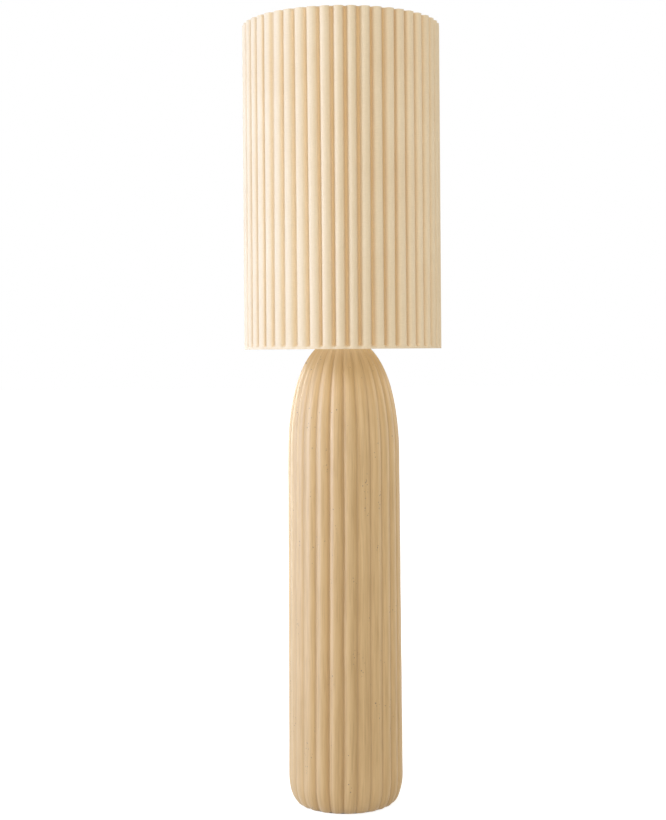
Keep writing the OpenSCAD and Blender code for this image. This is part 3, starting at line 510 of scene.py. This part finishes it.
def cut_cylinder(body, near, far, radius):
    """Cuts a cylinder out of the body at the inlet's height, between two distances behind the axis."""
    turn = np.radians(np.linspace(0, 360, CUTTER_SIDES, endpoint=False))
    rings = []
    for y in (near, far):
        x, z = radius * np.cos(turn), INLET_Z + radius * np.sin(turn)
        rings.append(np.stack([x, np.full(CUTTER_SIDES, y), z], axis=-1))
    mesh = grid_mesh("cutter", np.stack(rings))
    made = bmesh.new()
    made.from_mesh(mesh)
    bmesh.ops.holes_fill(made, edges=made.edges)
    bmesh.ops.recalc_face_normals(made, faces=made.faces)
    made.to_mesh(mesh)
    made.free()
    cutter = bpy.data.objects.new("cutter", mesh)
    scene.collection.objects.link(cutter)
    cut = body.modifiers.new("cut", "BOOLEAN")
    cut.operation = "DIFFERENCE"
    cut.solver = "EXACT"
    cut.object = cutter
    with bpy.context.temp_override(object=body, active_object=body, selected_objects=[body]):
        bpy.ops.object.modifier_apply(modifier=cut.name)
    bpy.data.objects.remove(cutter)


# Shade cover

CLOTH_SEED = 5
SHADE_Z, SHADE_TOP = 0.876, 1.500
SHADE_R = 0.191
FABRIC_T = 0.0008
PLEATS = 48
PLEAT_STEPS = 24                # columns of the mesh in a fold
PLEAT_DEPTH = 0.011
FIRST_CREST = -1.6              # degrees to the right of the front
# Folds left of the front that lie flatter, as a share of PLEAT_DEPTH; the rest are at 1
FLATTER = {-12: 0.8, -11: 0.7, **dict.fromkeys(range(-10, -2), 0.6), -2: 0.7, -1: 0.85}
# In each fold the line round the shade swings to and fro, so that it doubles back on itself
FOLD_SWELL, FOLD_STEEP = 0.0020, 0.0011
# Spread of the folds: place, lean from edge to edge, sway and crest in metres, the rest as shares
FOLD_SHIFT, FOLD_LEAN, FOLD_SWAY, CREST_SPREAD = 0.00035, 0.0008, 0.0002, 0.0003
SWELL_SPREAD, DEPTH_SPREAD = 0.12, 0.05
SWAY_TURN, SWAY_START = 1.3, 0.2                        # in half waves
# Heights of the mesh rows from each edge, and how far from the edges the even rows between them begin
EDGE_ROWS = np.array([0.0, 0.0005, 0.0020, 0.0035, 0.0045, 0.0055, 0.0065, 0.0080])
MIDDLE_START, MIDDLE_ROWS = 0.012, 24
# The folds flatten where they are sewn down, along the lower edge and less along the upper one
SEAM_HEIGHT = 0.0035
SEWN_LOW, SEWN_HIGH = 0.12, 0.70                        # how open the folds are at each edge
OPENING_LOW, OPENING_HIGH = 0.0045, 0.0035              # the heights over which they open
OPENING_POWER = 0.7


def between(values, place):
    """Values of the folds, blended smoothly from crest to crest at a place counted in folds."""
    number = np.floor(place).astype(int)
    share = place - number
    share = share * share * (3 - 2 * share)
    return values[number % PLEATS] * (1 - share) + values[(number + 1) % PLEATS] * share


def opening(distance, length, sewn):
    """How open the folds are at a distance from their seam: from the sewn share up to 1."""
    return sewn + (1 - sewn) * np.clip(distance / length, 0, 1) ** OPENING_POWER


def shade_cover():
    """A thin sheet in folds, made of an outside and an inside that meet at both edges."""
    random = np.random.default_rng(CLOTH_SEED)
    column = np.arange(PLEATS * PLEAT_STEPS)
    place = column / PLEAT_STEPS
    turn = 2 * math.pi * (column % PLEAT_STEPS) / PLEAT_STEPS
    tall = SHADE_TOP - SHADE_Z
    even_rows = np.linspace(MIDDLE_START, tall - MIDDLE_START, MIDDLE_ROWS)
    height = np.concatenate([EDGE_ROWS, even_rows, tall - EDGE_ROWS[::-1]])[:, None] / tall     # 0 to 1
    crest_radius = SHADE_R - FABRIC_T / 2
    middle_radius = crest_radius - PLEAT_DEPTH / 2
    pitch = 2 * math.pi * middle_radius / PLEATS

    def drawn(size=1.0):
        """A number drawn for each fold, blended from crest to crest."""
        return between(size * random.normal(size=PLEATS), place)

    shift = drawn(FOLD_SHIFT) + drawn(FOLD_LEAN) * (height - 0.5) * 2
    shift = shift + drawn(FOLD_SWAY) * np.sin(math.pi * (height * SWAY_TURN + SWAY_START))
    swell = FOLD_SWELL * (1 + SWELL_SPREAD * drawn())
    along = pitch * turn / (2 * math.pi) + FOLD_STEEP * np.sin(2 * turn) + swell * np.sin(turn)
    numbers = [number - PLEATS if number > PLEATS // 2 else number for number in range(PLEATS)]
    flatter = between(np.array([FLATTER.get(number, 1.0) for number in numbers]), place)
    depth = PLEAT_DEPTH * (1 + DEPTH_SPREAD * drawn()) * flatter
    inset = np.abs(drawn(CREST_SPREAD))
    open_low = opening(height * tall - SEAM_HEIGHT, OPENING_LOW, SEWN_LOW)
    open_high = opening((1 - height) * tall, OPENING_HIGH, SEWN_HIGH)
    recess = (1 - np.cos(turn)) * (open_low * open_high)
    radius = np.maximum(crest_radius - inset - depth / 2 * recess, crest_radius - PLEAT_DEPTH)
    angle = np.degrees((np.floor(place) * pitch + along + shift) / middle_radius) + FIRST_CREST - 90
    middle = polar(radius, angle, SHADE_Z + tall * height)
    tangent = np.roll(middle, -1, axis=1) - np.roll(middle, 1, axis=1)
    normal = np.stack([tangent[..., 1], -tangent[..., 0], np.zeros_like(tangent[..., 0])], axis=-1)
    normal /= np.linalg.norm(normal, axis=-1, keepdims=True)
    outside = middle + normal * FABRIC_T / 2
    inside = middle - normal * FABRIC_T / 2
    mesh = grid_mesh("shade_cover_fine", np.concatenate([outside, inside[::-1]]), closed_rows=True)
    # Painted shade, strongest at the back of each recess and weaker where the folds lie flatter
    recess_shade = (recess / 2) ** 3 * flatter
    store(mesh, "fold", "FLOAT", "value", np.concatenate([recess_shade, np.zeros_like(recess_shade)]))
    cover = new_object("shade_cover_fine", mesh, MATERIALS["cream_fabric"])
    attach(cover, "shade")
    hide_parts("shade_cover")


# Bulb glass

BULB_R = 0.030
BULB_NECK_R = 0.0136
GLASS_T = 0.0008
WAIST = -38                     # degrees from the ball's middle down to where the neck runs into it
NECK_ROWS, BALL_ROWS, GLASS_COLUMNS = 16, 30, 64
MERGE_DISTANCE = 0.00001


def glass_outline(inset):
    """Radii and heights from the top of the screw cap to the top of the glass, drawn in by inset."""
    low, high = (corner[2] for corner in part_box("bulb_glass"))
    ball, neck, middle = BULB_R - inset, BULB_NECK_R - inset, high - BULB_R
    turn = np.radians(np.linspace(WAIST, 90, BALL_ROWS))
    rise = middle + ball * math.sin(turn[0]) - low
    # A cubic that leaves the neck straight up and meets the ball along the ball's own slope
    share = np.linspace(0, 1, NECK_ROWS, endpoint=False)
    widening = ball * math.cos(turn[0]) - neck
    slope = -math.tan(turn[0]) * rise
    neck_radii = neck + widening * (3 - 2 * share) * share ** 2 + slope * (share - 1) * share ** 2
    radii = np.concatenate([neck_radii, ball * np.cos(turn)])
    heights = np.concatenate([low + rise * share, middle + ball * np.sin(turn)])
    return radii, heights


def bulb_glass():
    outer_radii, outer_heights = glass_outline(0.0)
    inner_radii, inner_heights = glass_outline(GLASS_T)
    radii = np.concatenate([outer_radii, inner_radii[::-1]])[:, None]
    heights = np.concatenate([outer_heights, inner_heights[::-1]])[:, None]
    angle = np.arange(GLASS_COLUMNS) * 360 / GLASS_COLUMNS
    mesh = grid_mesh("bulb_glass_fine", polar(radii, angle, heights), closed_rows=True)
    # The topmost ring outside and inside is one point each, with nothing between the two
    made = bmesh.new()
    made.from_mesh(mesh)
    bmesh.ops.remove_doubles(made, verts=made.verts, dist=MERGE_DISTANCE)
    loose = [edge for edge in made.edges if not edge.link_faces]
    bmesh.ops.delete(made, geom=loose, context="EDGES")
    made.to_mesh(mesh)
    made.free()
    glass = new_object("bulb_glass_fine", mesh, MATERIALS["opal_glass"])
    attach(glass, "bulb")
    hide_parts("bulb_glass")


# Screw cap of the bulb, with its thread

CAP_R = 0.013
CAP_T = 0.0004
CAP_MOUTH_R = 0.0104            # opening under the glass
CAP_RIM = 0.0015
THREAD_PITCH = 0.0036
THREAD_DEPTH = 0.0008
THREAD_LOW, THREAD_HIGH = 0.0028, 0.0034                # plain lengths below and above the thread
THREAD_RUNOUT = 0.0015
CAP_ROWS, CAP_COLUMNS = 64, 72


def bulb_cap():
    low, high = (corner[2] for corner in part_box("bulb_cap"))
    turn = np.arange(CAP_COLUMNS) / CAP_COLUMNS
    z = np.linspace(low, high, CAP_ROWS)[:, None]
    wave = 0.5 - 0.5 * np.cos(2 * math.pi * ((z - low) / THREAD_PITCH - turn))
    threaded = np.clip(np.minimum(z - low - THREAD_LOW, high - THREAD_HIGH - z) / THREAD_RUNOUT, 0, 1)
    radius = CAP_R - THREAD_DEPTH * wave * threaded
    below_rim = z[:, 0] < high - CAP_RIM
    rim_radius = np.array([[CAP_MOUTH_R], [CAP_MOUTH_R], [CAP_R - CAP_T]])
    rim_z = np.array([[high], [high - CAP_RIM], [high - CAP_RIM]])
    outer = polar(radius, 360 * turn, z)
    rim = polar(rim_radius, 360 * turn, rim_z)
    inner = polar(radius[below_rim] - CAP_T, 360 * turn, z[below_rim])[::-1]
    mesh = grid_mesh("bulb_cap_fine", np.concatenate([outer, rim, inner]), closed_rows=True)
    cap = new_object("bulb_cap_fine", mesh, MATERIALS["screw_aluminium"])
    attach(cap, "bulb")
    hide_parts("bulb_cap")


# Floor, world and lamps

FLOOR_REACH = 30.0
FLOOR_Z = 0.0001                # just above the felt's underside, so that the two don't share a plane
FLOOR_DARK, FLOOR_LIGHT = (0.55, 0.55, 0.54), (0.58, 0.58, 0.57)
GLOW_NEAR = 0.78                # the floor's own glow at the lamp's foot
GLOW_REACH = 3.0                # distance within which it grows to 1
AMBIENT = (0.305, 0.30, 0.285)
KEY_TINT = (0.85, 1.0, 1.39)
FILL_TINT = (1.02, 1.0, 0.92)
LAMP_AIM = 0.85                 # height that the front and side lamps are aimed at
SIDE_DISTANCE, SIDE_HEIGHT, SIDE_SIZE = 3.2, 1.3, (1.2, 2.4)
# Name, bearing and power of the three lamps round it that are otherwise alike
SIDE_LAMPS = (("front_right", 20, 21.0), ("back_right", 110, 28.0), ("back_left", -145, 46.0))
OFF_AXIS = 0.0001               # the lamp in the shade is all but on the axis


def white_to_camera(tree):
    """1 for rays from the camera and for those seen in gloss or through glass, 0 for the light itself."""
    path = tree.nodes.new("ShaderNodeLightPath")
    seen = maths(tree, "MAXIMUM", path.outputs["Is Camera Ray"], path.outputs["Is Glossy Ray"])
    return maths(tree, "MAXIMUM", seen, path.outputs["Is Transmission Ray"])


def make_floor():
    near, far = -FLOOR_REACH, FLOOR_REACH
    mesh = bpy.data.meshes.new("floor")
    mesh.from_pydata([(near, near, 0), (far, near, 0), (far, far, 0), (near, far, 0)], [], [(0, 1, 2, 3)])
    material, tree, shader, coords = new_material("floor")
    tone = ramp(tree, noise(tree, coords, scale=2.0), (0.3, FLOOR_DARK), (0.7, FLOOR_LIGHT))
    tree.links.new(tone, shader.inputs["Base Color"])
    shader.inputs["Roughness"].default_value = 0.9
    shader.inputs["Specular IOR Level"].default_value = 0.0
    shader.inputs["Emission Color"].default_value = (*WHITE, 1.0)
    # The glow that keeps the floor white grows away from the lamp, so a faint shadow stays at its foot
    distance = tree.nodes.new("ShaderNodeVectorMath")
    distance.operation = "LENGTH"
    tree.links.new(coords, distance.inputs[0])
    away = maths(tree, "DIVIDE", distance.outputs["Value"], GLOW_REACH)
    strength = ramp(tree, away, (0.05, grey(GLOW_NEAR)), (0.8, WHITE))
    glow = maths(tree, "MULTIPLY", white_to_camera(tree), strength)
    tree.links.new(glow, shader.inputs["Emission Strength"])
    # Seen from below, the floor is clear, so that the felt shows
    clear = tree.nodes.new("ShaderNodeBsdfTransparent")
    sides = tree.nodes.new("ShaderNodeNewGeometry")
    either = tree.nodes.new("ShaderNodeMixShader")
    tree.links.new(sides.outputs["Backfacing"], either.inputs[0])
    tree.links.new(shader.outputs["BSDF"], either.inputs[1])
    tree.links.new(clear.outputs["BSDF"], either.inputs[2])
    tree.links.new(either.outputs["Shader"], tree.nodes["Material Output"].inputs["Surface"])
    floor = new_object("floor", mesh, material, smooth=False)
    floor.location.z = FLOOR_Z


def make_world():
    """A weak, even light from all round, and white where the camera sees past the floor."""
    world = bpy.data.worlds.new("world")
    scene.world = world
    world.use_nodes = True
    tree = world.node_tree
    background = tree.nodes["Background"]
    colour = mixed(tree, AMBIENT, WHITE, white_to_camera(tree))
    tree.links.new(colour, background.inputs["Color"])
    background.inputs["Strength"].default_value = 1.0


def lamp(name, bearing, distance, height, aim, size, power, colour, shape="RECTANGLE"):
    """An area light at a bearing in degrees to the right of the front, aimed at a height on the axis."""
    data = bpy.data.lights.new(name, "AREA")
    data.shape = shape
    data.size, data.size_y = size
    data.energy = power
    data.color = colour
    obj = bpy.data.objects.new(name, data)
    scene.collection.objects.link(obj)
    turn = math.radians(bearing)
    obj.location = (distance * math.sin(turn), -distance * math.cos(turn), height)
    direction = Vector((0, 0, aim)) - obj.location
    obj.rotation_euler = direction.to_track_quat("-Z", "Y").to_euler()
    obj.visible_camera = False


def make_lamps():
    lamp("key", bearing=-81, distance=3.2, height=0.95, aim=0.70, size=(1.6, 2.2), power=72.0,
         colour=KEY_TINT)
    lamp("front", bearing=-10, distance=3.6, height=2.4, aim=LAMP_AIM, size=(4.0, 2.5), power=52.0,
         colour=FILL_TINT)
    for name, bearing, power in SIDE_LAMPS:
        lamp(name, bearing, SIDE_DISTANCE, SIDE_HEIGHT, LAMP_AIM, SIDE_SIZE, power, FILL_TINT)
    # A weak lamp inside the shade that shines down on the dome
    lamp("under_shade", bearing=0, distance=OFF_AXIS, height=0.99, aim=0.0, size=(0.3, 0.3), power=0.26,
         colour=FILL_TINT, shape="DISK")


# The scene

make_camera()
MATERIALS = {name: plain_material(name, **looks) for name, looks in PLAIN_LOOKS.items()}
MATERIALS["ceramic"] = ceramic_material()
MATERIALS["wire_insulation"] = wire_material()
MATERIALS["liner_film"] = shade_fabric("liner_film", LINER_LIGHT, LINER_DARK, sheen=0.1)
MATERIALS["cream_fabric"] = shade_fabric("cream_fabric", CREAM_LIGHT, CREAM_DARK, sheen=0.08)
for entry in frame["record"]["subparts"]:
    slots = frame["nodes"][entry["node"]].data.materials
    slots.clear()
    slots.append(MATERIALS[entry["material_slot"]])
ceramic_body()
shade_cover()
bulb_glass()
bulb_cap()
make_floor()
make_world()
make_lamps()
